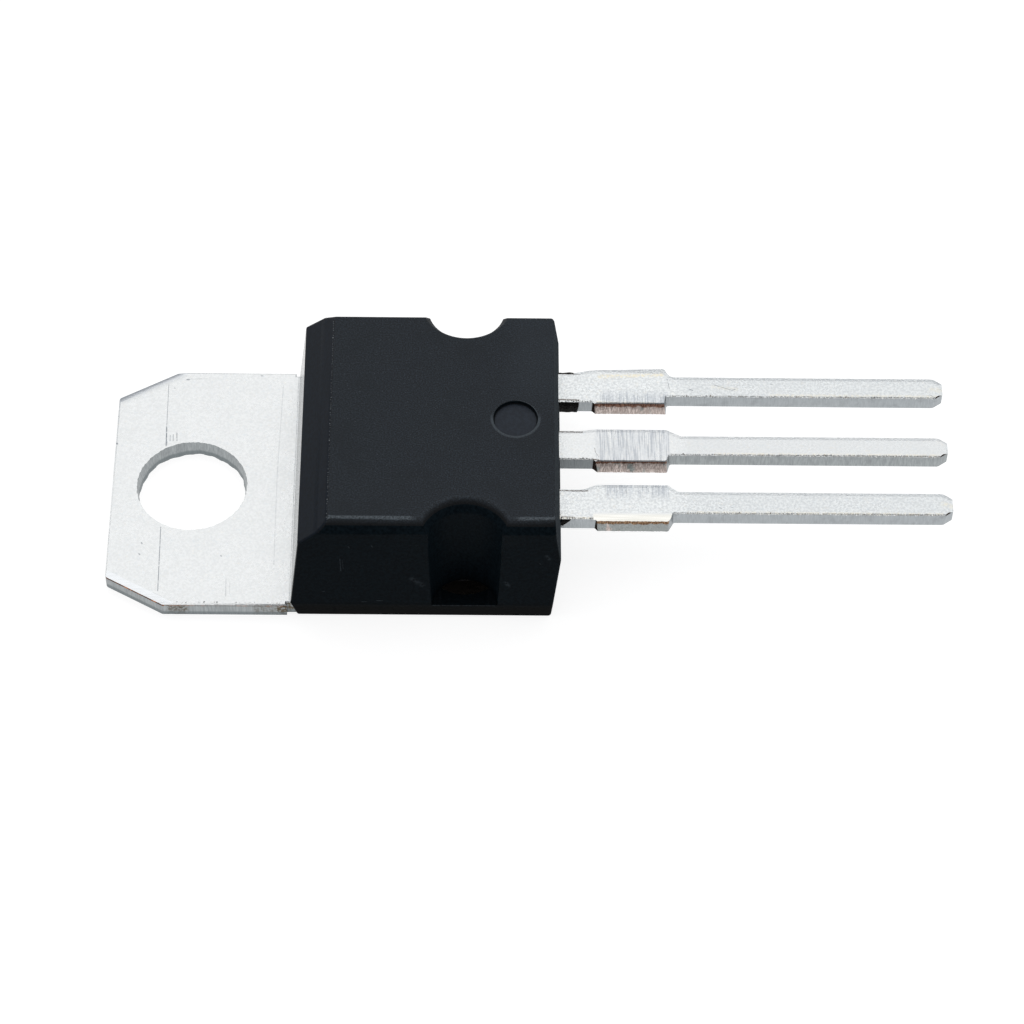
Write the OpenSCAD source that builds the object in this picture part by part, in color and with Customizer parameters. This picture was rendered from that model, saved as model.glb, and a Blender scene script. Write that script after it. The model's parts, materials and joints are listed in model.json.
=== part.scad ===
// Three-lead power transistor in the single-gauge TO-220 outline, lying on its back.
// Millimetres. The origin is on the axis of the mounting hole, in the back face of the tab.
// +X runs out along the leads, +Y is the source side, +Z comes out of the body's front face.

/* [Tab] */
// Thickness of the copper strip at the tab and the die pad
tab_t = 0.6; // [0.45:0.05:0.9]
// Width of the tab
tab_w = 10.1; // [9.8:0.1:12.2]
// Length of tab that stands out of the body
tab_len = 6.32; // [5.3:0.02:7.7]
// From the axis of the mounting hole to the free end of the tab
hole_edge = 2.75; // [2.2:0.05:3.3]
// Diameter of the mounting hole
hole_d = 3.8; // [3.1:0.1:4.6]
// Length of the two corner cuts, along the tab
cut_len = 2; // [1:0.1:2.4]
// Depth of the two corner cuts, across the tab
cut_depth = 1.15; // [0.5:0.05:1.8]
// Width of the slope pressed flat along each corner cut
cut_coin_w = 0.28; // [0.1:0.02:0.5]
// Drop of that slope at the cut
cut_coin_t = 0.1; // [0.04:0.02:0.2]
// Inset of the waist where the strip enters the body, from the narrower of the two
waist_step = 0.07; // [0.05:0.01:0.2]
// Length of that waist in front of the body
waist_len = 0.12; // [0.06:0.01:0.3]

/* [Moulded body] */
// Length of the body at its parting line
body_len = 9.08; // [8.4:0.02:10.8]
// Width of the body at the tab's front face
body_w = 10; // [9.8:0.1:12]
// Height of the body from the back face
body_h = 4.5; // [4.2:0.1:5.4]
// Draft of the long sides, degrees
side_draft = 5.5; // [2:0.5:8]
// Draft of the end that the tab leaves, degrees
tab_end_draft = 6.1; // [2:0.1:8]
// Draft of the end that the leads leave, above and below its parting line, degrees
lead_end_draft = 5.4; // [2:0.1:8]
// Step in of the skirt beside the tab, from the parting line down to the back face
skirt_step = 0.2; // [0.05:0.05:0.3]
// Step in of the skirt along the long sides
skirt_side = 0.04; // [0.02:0.01:0.1]
// Drop of the big bevel over the tab
bevel_drop = 0.9; // [0.5:0.05:1.1]
// Run of the big bevel along the body
bevel_run = 1.03; // [0.4:0.01:1.4]
// Drop of the small bevel along the long edges and round the notches
edge_drop = 0.36; // [0.2:0.02:0.44]
// Run of the same small bevel
edge_run = 0.31; // [0.15:0.01:0.4]
// Radius left on the moulded edges
edge_r = 0.1; // [0.04:0.02:0.12]

/* [Clamp notches and ejector mark] */
// From the lead end of the body to the axis of the notches
notch_back = 3.18; // [2.9:0.02:3.6]
// Radius of a notch at its floor
notch_r = 1.12; // [0.94:0.02:1.34]
// How far the axis of a notch lies outside the body's widest line
notch_out = 0.06; // [0:0.02:0.2]
// Draft of the notch wall, degrees
notch_draft = 3.2; // [1:0.2:5]
// How far the pad's clamp ear shows on the floor of a notch
ear_show = 0.68; // [0.4:0.02:0.84]
// Radius of the ear's outline
ear_r = 1.4; // [1.2:0.1:1.6]
// Diameter of the ejector pin's mark
ejector_d = 1.48; // [1.2:0.02:1.8]
// Depth of the ejector pin's mark
ejector_depth = 0.14; // [0.06:0.02:0.24]
// From the lead end of the body to the middle of the ejector mark
ejector_back = 1.5; // [1.3:0.1:2]

/* [Leads] */
// Distance from one lead to the next
pitch = 2.54; // [2.1:0.02:2.8]
// Thickness of a lead
lead_t = 0.5; // [0.4:0.02:0.6]
// Height of the leads' underside above the back face
lead_z = 2.55; // [2.3:0.05:2.8]
// Length of a lead outside the body
lead_len = 13.3; // [11:0.1:16]
// Width of the round-edged pin that goes through the board
pin_w = 0.86; // [0.66:0.02:0.96]
// Width of the neck beside the body
neck_w = 1.2; // [0.96:0.01:1.3]
// Length of the neck
neck_len = 1.25; // [1:0.05:1.5]
// Width where the tie bar was cut away
bar_w = 1.44; // [1.34:0.02:1.68]
// Length of that wide part
bar_len = 2.43; // [2:0.01:2.9]
// Length of the slope from the neck to the wide part, on the +Y side
neck_slope_far = 0.5; // [0.04:0.02:0.6]
// Length of the same slope on the -Y side
neck_slope_near = 0.06; // [0.04:0.02:0.6]
// Length of the slope to the pin on the +Y side
slope_far = 0.26; // [0.1:0.02:0.5]
// Length of that slope on the -Y side
slope_near = 0.08; // [0.04:0.02:0.5]
// Width of the slope pressed flat along the outer edge of an outer lead's wide part
bar_coin_w = 0.24; // [0.1:0.02:0.4]
// Drop of that slope at the edge
bar_coin_t = 0.09; // [0.03:0.02:0.15]
// Length of the pointed end of a pin
tip_run = 0.25; // [0.1:0.01:0.4]
// How far each corner of the end is cut back across the pin
tip_cut = 0.2; // [0.05:0.01:0.3]
// Bevel on the front and back of the end
tip_bevel = 0.08; // [0.02:0.01:0.14]

/* [Inside the body] */
// Width of the die pad
pad_w = 8.4; // [7:0.1:9]
// Width of the joggled strip between the pad and the centre lead
joggle_w = 1.6; // [1.3:0.1:2]
// Inner radius of the two bends in the joggle
bend_r = 0.3; // [0.2:0.02:0.4]
// Slope of the joggle between its bends, degrees
bend_angle = 70; // [60:1:80]
// Flat of the centre lead between its upper bend and the end of the body
joggle_flat = 0.45; // [0.3:0.05:0.6]
// From the end of the body back to the inner ends of the bond posts
post_back = 1.9; // [1.7:0.05:2]
// Length of the bond posts
post_len = 1.5; // [1.2:0.05:1.6]
// Width of the gate's bond post
gate_post_w = 1.8; // [1.4:0.1:2]
// Width of the source's bond post
source_post_w = 2.4; // [2:0.1:2.6]
// Length of the die along the body
die_len = 4.2; // [3.4:0.1:4.8]
// Width of the die
die_w = 3.4; // [2.8:0.1:4]
// Thickness of the die
die_t = 0.3; // [0.2:0.02:0.4]
// From the tab end of the body to the middle of the die
die_mid = 3.75; // [3.4:0.05:4]
// Thickness of the solder under the die
solder_t = 0.06; // [0.03:0.01:0.1]
// How far the solder spreads past the die
solder_rim = 0.18; // [0.1:0.02:0.3]
// Diameter of a source wire
source_wire_d = 0.38; // [0.25:0.01:0.5]
// Diameter of the gate wire
gate_wire_d = 0.16; // [0.12:0.01:0.25]
// Distance between the two source wires at their post
wire_gap = 1; // [0.7:0.05:1.2]

/* [Hidden] */
$fn = 64;
// cutters run this far past what they cut
over = 1;
// straight steps in the arc of a bend or a moulded edge
arc_steps = 6;
tab_end = -hole_edge;
body_x0 = tab_len - hole_edge;
body_x1 = body_x0 + body_len;
lead_mid = lead_z + lead_t / 2;
lead_top = lead_z + lead_t;
notch_x = body_x1 - notch_back;
notch_y = body_w / 2 + notch_out;
notch_top = body_h - edge_drop;
notch_top_r = notch_r + (notch_top - tab_t) * tan(notch_draft);
ear_y = notch_y - notch_r + ear_show - ear_r;
// middle radius of the joggle's bends, the rise of its slope, and the ends of its bends
bend_mid = bend_r + lead_t / 2;
joggle_rise = lead_top - tab_t - 2 * bend_mid * (1 - cos(bend_angle));
joggle_x1 = body_x1 - joggle_flat;
joggle_x0 = joggle_x1 - joggle_rise / tan(bend_angle) - 2 * bend_mid * sin(bend_angle);
die_x = body_x0 + die_mid;
die_z = tab_t + solder_t;
die_top = die_z + die_t;
post_x = body_x1 - post_back;
// bonds lie at these shares of the die's half length and half width
source_bond = [0, 0.35, 0.25, 0.75];
gate_bond = [0.8, -0.76];
// a bond foot's length and width in wire diameters, and its thickness
foot_len = 2.4;
foot_w = 1.5;
foot_t = 0.6;
// height of a wire's arch as a share of its span
wire_arch = 0.22;

// Points along an arc, and an outline with each corner rounded to radius r.
function arc(centre, r, from, to) =
    [for (i = [0:arc_steps])
        let (t = from + (to - from) * i / arc_steps)
        centre + r * [cos(t), sin(t)]];
function unit(v) = v / norm(v);
function corner(before, point, after, r) =
    let (
        a = unit(before - point),
        b = unit(after - point),
        half = acos(a * b) / 2,
        centre = point + unit(a + b) * r / sin(half),
        first = point + a * r / tan(half) - centre,
        last = point + b * r / tan(half) - centre,
        from = atan2(first[1], first[0]),
        turn = atan2(last[1], last[0]) - from,
        sweep = turn > 180 ? turn - 360 : turn < -180 ? turn + 360 : turn
    )
    arc(centre, r, from, from + sweep);
function rounded(points, r) =
    let (n = len(points))
    [for (i = [0:n - 1])
        each corner(points[(i + n - 1) % n], points[i], points[(i + 1) % n], r)];

// Tab, die pad, clamp ears, joggle and centre lead, stamped from one strip of copper.
module tab_outline() {
    half = tab_w / 2;
    waist = min(tab_w, body_w) / 2 - waist_step;
    waist_x0 = body_x0 - waist_len;
    waist_x1 = body_x0 + skirt_step;
    polygon([
        [tab_end, -half + cut_depth], [tab_end + cut_len, -half],
        [waist_x0, -half], [waist_x0, -waist], [waist_x1, -waist],
        [waist_x1, waist], [waist_x0, waist], [waist_x0, half],
        [tab_end + cut_len, half], [tab_end, half - cut_depth]
    ]);
}

// Cutter for a slope w wide and t deep along the edge from a to b of a top face at height z.
// The metal lies to the left of the way from a to b.
module coining(a, b, z, w, t) {
    run = norm(b - a);
    translate([a[0], a[1], z])
        rotate([90, 0, atan2(b[1] - a[1], b[0] - a[0]) + 90])
            linear_extrude(run)
                polygon([[w, 0], [w, over], [-w, over], [-w, -2 * t]]);
}

// Cutter for the coined slope on the corner cut of the -Y side, run on past both of its ends.
module cut_coining() {
    a = [tab_end, cut_depth - tab_w / 2];
    b = [tab_end + cut_len, -tab_w / 2];
    past = unit(b - a) * cut_coin_w;
    coining(a - past, b + past, tab_t, cut_coin_w, cut_coin_t);
}

module pad_outline() {
    translate([body_x0, -pad_w / 2])
        square([joggle_x0 - body_x0, pad_w]);
    for (side = [-1, 1])
        translate([notch_x, side * ear_y])
            circle(r = ear_r);
    translate([notch_x - ear_r, -ear_y])
        square([2 * ear_r, 2 * ear_y]);
}

// Side view of the strip that climbs from the pad to the centre lead through two bends.
module joggle_profile() {
    outer_r = bend_r + lead_t;
    low = [joggle_x0, tab_t + bend_r];
    high = [joggle_x1, lead_z - bend_r];
    polygon(concat(
        [[joggle_x0 - lead_t, tab_t - lead_t]],
        arc(low, outer_r, -90, bend_angle - 90),
        arc(high, bend_r, 90 + bend_angle, 90),
        [[body_x1, lead_z], [body_x1, lead_top]],
        arc(high, outer_r, 90, 90 + bend_angle),
        arc(low, bend_r, bend_angle - 90, -90),
        [[joggle_x0 - lead_t, tab_t]]
    ));
}

// Outline of a lead from above, with x = 0 at the end of the body.
module lead_outline(inner) {
    bar_end = neck_len + bar_len;
    polygon([
        [-inner, -neck_w / 2], [neck_len - neck_slope_near, -neck_w / 2],
        [neck_len, -bar_w / 2], [bar_end, -bar_w / 2],
        [bar_end + slope_near, -pin_w / 2], [lead_len - tip_run, -pin_w / 2],
        [lead_len, -pin_w / 2 + tip_cut], [lead_len, pin_w / 2 - tip_cut],
        [lead_len - tip_run, pin_w / 2], [bar_end + slope_far, pin_w / 2],
        [bar_end, bar_w / 2], [neck_len, bar_w / 2],
        [neck_len - neck_slope_far, neck_w / 2], [-inner, neck_w / 2]
    ]);
}

// Lead and its stub inside the body, with both faces of the end bevelled.
module lead_blade(inner) {
    translate([body_x1, 0, lead_z])
        intersection() {
            linear_extrude(lead_t)
                lead_outline(inner);
            rotate([90, 0, 0])
                linear_extrude(2 * bar_w, center = true)
                    polygon([
                        [-inner - over, 0], [lead_len - tip_bevel, 0],
                        [lead_len, tip_bevel], [lead_len, lead_t - tip_bevel],
                        [lead_len - tip_bevel, lead_t], [-inner - over, lead_t]
                    ]);
        }
}

module drain_frame() {
    color("gainsboro") {
        difference() {
            union() {
                linear_extrude(tab_t) {
                    tab_outline();
                    pad_outline();
                }
                rotate([90, 0, 0])
                    linear_extrude(joggle_w, center = true)
                        joggle_profile();
                lead_blade(joggle_flat / 2);
            }
            translate([0, 0, -over])
                cylinder(d = hole_d, h = tab_t + 2 * over);
            cut_coining();
            mirror([0, 1, 0])
                cut_coining();
        }
    }
}

// Outer lead whose outer side is -Y, with the wide plate inside the body that the wires are bonded to.
module outer_lead(post_w) {
    lead_blade(post_back - post_len);
    translate([post_x, -post_w / 2, lead_z])
        cube([post_len, post_w, lead_t]);
}

// Cutter for the coined slope on the wide part of an outer lead whose outer side is -Y.
module bar_coining() {
    bar_x = body_x1 + neck_len;
    coining([bar_x, -bar_w / 2], [bar_x + bar_len, -bar_w / 2], lead_top, bar_coin_w, bar_coin_t);
}

module gate_lead() {
    color("gainsboro")
        translate([0, -pitch, 0])
            difference() {
                outer_lead(gate_post_w);
                bar_coining();
            }
}

module source_lead() {
    color("gainsboro")
        translate([0, pitch, 0])
            difference() {
                outer_lead(source_post_w);
                mirror([0, 1, 0])
                    bar_coining();
            }
}

module die_solder() {
    color("gray")
        translate([die_x - die_len / 2 - solder_rim, -die_w / 2 - solder_rim, tab_t])
            cube([die_len + 2 * solder_rim, die_w + 2 * solder_rim, solder_t]);
}

module mosfet_die() {
    color("slategray")
        translate([die_x - die_len / 2, -die_w / 2, die_z])
            cube([die_len, die_w, die_t]);
}

// Flattened end of a bond wire: a plate with round ends that lies on z = 0 along x.
module bond_foot(d) {
    half_len = (foot_len - foot_w) * d / 2;
    linear_extrude(foot_t * d) {
        translate([-half_len, -foot_w * d / 2])
            square([2 * half_len, foot_w * d]);
        for (end = [-1, 1])
            translate([end * half_len, 0])
                circle(d = foot_w * d);
    }
}

// Wire of diameter d in one circular arch from the bond at a to the bond at b.
module bond_wire(a, b, d) {
    run = norm([b[0] - a[0], b[1] - a[1]]);
    rise = b[2] - a[2];
    span = norm([run, rise]);
    arch = wire_arch * span;
    r = (span * span / 4 + arch * arch) / (2 * arch);
    centre = [run, rise] / 2 - (r - arch) * [-rise, run] / span;
    from = atan2(rise - centre[1], run - centre[0]);
    sweep = atan2(-centre[1], -centre[0]) - from;
    turn = sweep < 0 ? sweep + 360 : sweep;
    translate(a)
        rotate(atan2(b[1] - a[1], b[0] - a[0])) {
            translate([centre[0], 0, centre[1] + d / 2])
                rotate([90, 0, 0])
                    rotate(from)
                        rotate_extrude(angle = turn)
                            translate([r, 0])
                                circle(d = d, $fn = 32);
            bond_foot(d);
            translate([run, 0, rise])
                bond_foot(d);
        }
}

function on_die(along, across) = [die_x + along * die_len / 2, across * die_w / 2, die_top];
function on_post(across) = [post_x + post_len / 2, across, lead_top];

module source_wire_inner() {
    color("lightgray")
        bond_wire(
            on_die(source_bond[0], source_bond[2]),
            on_post(pitch - wire_gap / 2),
            source_wire_d
        );
}

module source_wire_outer() {
    color("lightgray")
        bond_wire(
            on_die(source_bond[1], source_bond[3]),
            on_post(pitch + wire_gap / 2),
            source_wire_d
        );
}

module gate_wire() {
    color("lightgray")
        bond_wire(on_die(gate_bond[0], gate_bond[1]), on_post(-pitch), gate_wire_d);
}

// Drafted block: the side view and the end view of the mould's cavity, each run through the other.
module cavity() {
    mid = lead_mid;
    bevel_z = body_h - bevel_drop;
    bevel_x = body_x0 + (bevel_z - tab_t) * tan(tab_end_draft);
    side_view = [
        [body_x0 + skirt_step, 0], [body_x1 - mid * tan(lead_end_draft), 0],
        [body_x1, mid], [body_x1 - (body_h - mid) * tan(lead_end_draft), body_h],
        [bevel_x + bevel_run, body_h], [bevel_x, bevel_z], [body_x0, tab_t]
    ];
    edge_z = body_h - edge_drop;
    edge_y = body_w / 2 - (edge_z - tab_t) * tan(side_draft);
    right_half = [
        [body_w / 2 - skirt_side, 0], [body_w / 2, tab_t],
        [edge_y, edge_z], [edge_y - edge_run, body_h]
    ];
    end_view = concat(right_half, [for (i = [3:-1:0]) [-right_half[i][0], right_half[i][1]]]);
    intersection() {
        rotate([90, 0, 0])
            linear_extrude(body_w + 2 * over, center = true)
                polygon(rounded(side_view, edge_r));
        translate([body_x0 - over, 0, 0])
            rotate([90, 0, 90])
                linear_extrude(body_len + 2 * over)
                    polygon(rounded(end_view, edge_r));
    }
}

// Half-round notch down to the ear of the pad, with the body's small bevel round its lip.
module clamp_notch() {
    lip_r = notch_top_r + edge_run;
    past = lip_r + over * edge_run / edge_drop;
    translate([notch_x, notch_y, 0]) {
        translate([0, 0, tab_t])
            cylinder(r1 = notch_r, r2 = notch_top_r, h = notch_top - tab_t);
        translate([0, 0, notch_top])
            cylinder(r1 = notch_top_r, r2 = past, h = edge_drop + over);
    }
}

module moulded_body() {
    color("#26292c")
        difference() {
            cavity();
            clamp_notch();
            mirror([0, 1, 0])
                clamp_notch();
            translate([body_x1 - ejector_back, 0, body_h - ejector_depth])
                cylinder(d = ejector_d, h = ejector_depth + over);
            drain_frame();
            gate_lead();
            source_lead();
            die_solder();
            mosfet_die();
            source_wire_inner();
            source_wire_outer();
            gate_wire();
        }
}

drain_frame();
gate_lead();
source_lead();
die_solder();
mosfet_die();
source_wire_inner();
source_wire_outer();
gate_wire();
moulded_body();
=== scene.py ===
import json
import math
import random
from collections import namedtuple

import bmesh
import bpy
import numpy as np
from mathutils import Matrix, Vector


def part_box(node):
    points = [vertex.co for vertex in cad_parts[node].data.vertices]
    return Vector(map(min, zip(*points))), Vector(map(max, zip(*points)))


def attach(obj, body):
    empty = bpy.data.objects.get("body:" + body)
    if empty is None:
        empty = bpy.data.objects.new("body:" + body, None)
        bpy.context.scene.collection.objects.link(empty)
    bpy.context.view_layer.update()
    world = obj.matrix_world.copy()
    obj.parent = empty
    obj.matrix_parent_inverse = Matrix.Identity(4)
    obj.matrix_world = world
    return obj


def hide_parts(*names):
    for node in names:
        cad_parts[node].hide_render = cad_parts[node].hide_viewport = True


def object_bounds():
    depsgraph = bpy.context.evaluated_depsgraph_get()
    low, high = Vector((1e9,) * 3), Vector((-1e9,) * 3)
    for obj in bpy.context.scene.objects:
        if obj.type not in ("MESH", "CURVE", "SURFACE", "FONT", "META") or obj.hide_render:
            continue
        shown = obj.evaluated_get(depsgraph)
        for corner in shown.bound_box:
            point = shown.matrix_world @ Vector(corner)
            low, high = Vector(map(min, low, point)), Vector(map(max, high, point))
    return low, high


# Looks of a three-lead power transistor, put together in the order in which the real one is made.
# The frame and all finished meshes are in metres. Sizes in the sections are in millimetres.
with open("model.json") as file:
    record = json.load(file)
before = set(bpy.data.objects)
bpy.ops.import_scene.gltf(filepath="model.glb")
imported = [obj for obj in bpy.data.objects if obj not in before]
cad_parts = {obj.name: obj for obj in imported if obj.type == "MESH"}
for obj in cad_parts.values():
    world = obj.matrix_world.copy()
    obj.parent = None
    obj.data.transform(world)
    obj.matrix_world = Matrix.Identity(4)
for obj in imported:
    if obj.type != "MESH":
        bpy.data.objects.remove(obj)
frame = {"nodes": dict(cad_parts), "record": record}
cad_low, cad_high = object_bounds()


# ------------------------------------------------
# Drain frame: tab, die pad and centre lead in one piece.
# Stamped from copper strip with one punch stroke, so its front edges are drawn over and its back
# edges are sharp. The corner cuts are coined flat, and the whole is plated with matte tin.
# ------------------------------------------------
PER_METRE = 1000


def box_mm(node):
    """Lowest and highest corner of a CAD node, in millimetres."""
    return [corner * PER_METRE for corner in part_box(node)]


frame_low, frame_high = box_mm("drain_frame")
body_low, body_high = box_mm("moulded_body")
gate_low, gate_high = box_mm("gate_lead")
source_low, source_high = box_mm("source_lead")
tab_top = box_mm("die_solder")[0].z
lead_bottom, lead_top, lead_tip = gate_low.z, gate_high.z, gate_high.x
pitch = (source_low.y + source_high.y) / 2
mounts = {mount["name"]: mount for mount in frame["record"]["mounts"]}
hole_r = mounts["mounting_hole"]["dims"]["r_mm"]

half_tab = frame_high.y
cut_len, cut_depth = 2.0, 1.15
cut_coin_w, near_coin_t, far_coin_t = 0.24, 0.035, 0.08
waist_step, waist_len, skirt_step = 0.07, 0.12, 0.2
half_pad = 4.2
notch_back, notch_out = 3.18, 0.06
notch_x = body_high.x - notch_back
notch_y = body_high.y + notch_out
ear_r, ear_y = 1.4, 3.22
joggle_w, joggle_flat, bend_r, bend_angle = 1.6, 0.45, 0.3, math.radians(70)
tab_roll, roll_drop, roll_lip, burr = 0.06, 0.034, 0.008, 0.02
tooth_w = 0.05

# A corner of a stamped blank. For the edge that leaves it: how far the punch draws its front over (roll),
# tears it ragged (torn) and drags its back outwards (flare), all in millimetres.
Corner = namedtuple("Corner", "x y radius roll torn flare", defaults=(0, tab_roll, 0, 0))


def arc(centre, radius, start, end, steps=12):
    """Points along an arc, angles in radians."""
    angles = [start + (end - start) * k / steps for k in range(steps + 1)]
    return [(centre[0] + radius * math.cos(a), centre[1] + radius * math.sin(a)) for a in angles]


def rounded(point, before, after, radius, steps):
    """Points round a corner, from its line to the point before to its line to the point after."""
    spot = Vector(point)
    back, ahead = (Vector(before) - spot).normalized(), (Vector(after) - spot).normalized()
    half = back.angle(ahead) / 2
    centre = spot + (back + ahead).normalized() * radius / math.sin(half)
    first = spot + back * radius / math.tan(half) - centre
    last = spot + ahead * radius / math.tan(half) - centre
    start, sweep = math.atan2(first.y, first.x), math.atan2(first.cross(last), first.dot(last))
    return arc(centre, radius, start, start + sweep, steps)


def drawn_in(corners, rolled, flared):
    """The corners with each edge moved inwards by a share of its roll and outwards by one of its flare."""
    moved = []
    for i, corner in enumerate(corners):
        point, before, after = Vector(corner[:2]), corners[i - 1], corners[(i + 1) % len(corners)]
        way_in = (point - Vector(before[:2])).normalized()
        way_out = (Vector(after[:2]) - point).normalized()
        side_in, side_out = Vector((-way_in.y, way_in.x)), Vector((-way_out.y, way_out.x))
        shift_in, shift_out = (each.roll * rolled - each.flare * flared for each in (before, corner))
        bend = side_in.cross(side_out)
        if abs(bend) < 0.3:
            point += (side_in + side_out).normalized() * (shift_in + shift_out) / 2
        else:
            point += Vector((shift_in * side_out.y - shift_out * side_in.y,
                             shift_out * side_in.x - shift_in * side_out.x)) / bend
        radius = corner.radius - math.copysign((shift_in + shift_out) / 2, bend)
        moved.append(corner._replace(x=point.x, y=point.y, radius=max(radius, 0.01) if corner.radius else 0))
    return moved


def outline(corners, height, rolled=0, flared=0, seed=1, steps=5):
    """Outline of a stamped blank at one height, counter-clockwise, with ragged points on its torn edges."""
    draw = random.Random(seed)
    inner = drawn_in(corners, rolled, flared)
    points = []
    for i, corner in enumerate(inner):
        before, after = inner[i - 1][:2], inner[(i + 1) % len(inner)][:2]
        points += rounded(corner[:2], before, after, corner.radius, steps) if corner.radius else [corner[:2]]
        if corner.torn:
            full = Vector(corners[(i + 1) % len(corners)][:2]) - Vector(corners[i][:2])
            pieces = int(full.length / tooth_w)
            start, run = Vector(points[-1]), Vector(after) - Vector(points[-1])
            side = Vector((-run.y, run.x)).normalized()
            for k in range(1, pieces - 4):
                points.append(start + run * k / pieces + side * draw.random() * corner.torn)
    return [(*point, height) for point in points]


def placed(name, data):
    """A new object in the scene."""
    made = bpy.data.objects.new(name, data)
    bpy.context.scene.collection.objects.link(made)
    return made


def loft(name, rings):
    """Closed solid through rings of equally many points, counter-clockwise, from the lowest ring up."""
    count = len(rings[0])
    points = [point for level in rings for point in level]
    last = len(points) - count
    faces = [tuple(range(count - 1, -1, -1)), tuple(range(last, len(points)))]
    for low in range(0, last, count):
        for i in range(count):
            a, b = low + i, low + (i + 1) % count
            faces.append((a, b, b + count, a + count))
    mesh = bpy.data.meshes.new(name)
    mesh.from_pydata(points, [], faces)
    shape = bmesh.new()
    shape.from_mesh(mesh)
    bmesh.ops.remove_doubles(shape, verts=shape.verts, dist=1e-4)
    bmesh.ops.recalc_face_normals(shape, faces=shape.faces)
    shape.to_mesh(mesh)
    shape.free()
    return placed(name, mesh)


def stamped(name, corners, low, high, seed=1):
    """Plate with a small burr break at the back and its front edges drawn over in a nearly flat slope."""
    levels = [(low, 0.3, 1), (low + burr, 0, 1)]
    levels += [(high - roll_drop, 0, 0), (high - roll_lip, 0.75, 0), (high, 1, 0)]
    return loft(name, [outline(corners, *level, seed) for level in levels])


def settle(made):
    """Replaces an object's mesh by what its modifiers make of it."""
    bpy.context.view_layer.update()
    depsgraph = bpy.context.evaluated_depsgraph_get()
    shaped = bpy.data.meshes.new_from_object(
        made.evaluated_get(depsgraph), preserve_all_data_layers=True, depsgraph=depsgraph
    )
    made.modifiers.clear()
    made.data = shaped


def combine(made, operation, *others):
    """Joins other closed solids to an object, or cuts them out of it, and removes them."""
    for other in others:
        step = made.modifiers.new("combine", "BOOLEAN")
        step.operation, step.object, step.solver = operation, other, "MANIFOLD"
        settle(made)
        bpy.data.objects.remove(other)


def coining_tool(a, b, height, width, depth):
    """Cutter that leaves a pressed slope along the edge from a to b, which has the metal on its left.
    The slope starts width inside the edge and is depth deep at it. The cutter runs on past both."""
    along = Vector((b[0] - a[0], b[1] - a[1], 0)).normalized()
    outward = Vector((along.y, -along.x, 0))
    side = [(-1.4 * width, 0.4 * depth), (0.5 * width, -1.5 * depth), (0.5 * width, 1), (-1.4 * width, 1)]
    return loft("coining_tool", [
        [Vector((*end, height)) + outward * out + Vector((0, 0, up)) for out, up in side] for end in (b, a)
    ])


def tab_corners():
    """The tab, pad and ears: the near side from the free end inwards, then the far side back again."""
    waist = body_high.y - waist_step
    waist_x = body_low.x - waist_len
    meet = math.asin((half_pad - ear_y) / ear_r)
    near = [
        Corner(frame_low.x, -half_tab + cut_depth, 0.12, 0),
        Corner(frame_low.x + cut_len, -half_tab, 0.1),
        Corner(waist_x, -half_tab), Corner(waist_x, -waist),
        Corner(body_low.x + skirt_step, -waist), Corner(body_low.x + skirt_step, -half_pad),
    ]
    near += [Corner(*point) for point in arc((notch_x, -ear_y), ear_r, -math.pi + meet, 0)]
    far = [corner._replace(y=-corner.y, roll=tab_roll) for corner in reversed(near)]
    far[-2] = far[-2]._replace(roll=0)
    return near + far


def joggle():
    """Strip that climbs from the pad to the centre lead through two bends."""
    thick = lead_top - lead_bottom
    middle = bend_r + thick / 2
    rise = lead_top - tab_top - 2 * middle * (1 - math.cos(bend_angle))
    end = body_high.x - joggle_flat
    start = end - rise / math.tan(bend_angle) - 2 * middle * math.sin(bend_angle)
    down, level = -math.pi / 2, math.pi / 2
    low, high = (start, tab_top + bend_r), (end, lead_bottom - bend_r)
    side = [(start - thick, tab_top - thick)]
    side += arc(low, bend_r + thick, down, bend_angle + down)
    side += arc(high, bend_r, level + bend_angle, level)
    side += [(body_high.x, lead_bottom), (body_high.x, lead_top)]
    side += arc(high, bend_r + thick, level, level + bend_angle)
    side += arc(low, bend_r, bend_angle + down, down)
    side += [(start - thick, tab_top)]
    return loft("joggle", [[(x, y, z) for x, z in side] for y in (joggle_w / 2, -joggle_w / 2)])


neck_len, bar_len = 1.25, 2.43
bar_x0, bar_x1 = body_high.x + neck_len, body_high.x + neck_len + bar_len
tip_run, tip_cut = 0.28, 0.2
near_roll, far_roll, bar_roll, torn, lead_flare = 0.07, 0.17, 0.035, 0.014, 0.045
tip_slopes = [(0.035, 0.035), (0.16, 0.05), (0.2, 0.06)]

# Half widths of a lead at its neck, at the stump of the tie bar and at its pin.
Widths = namedtuple("Widths", "neck bar pin")


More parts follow.
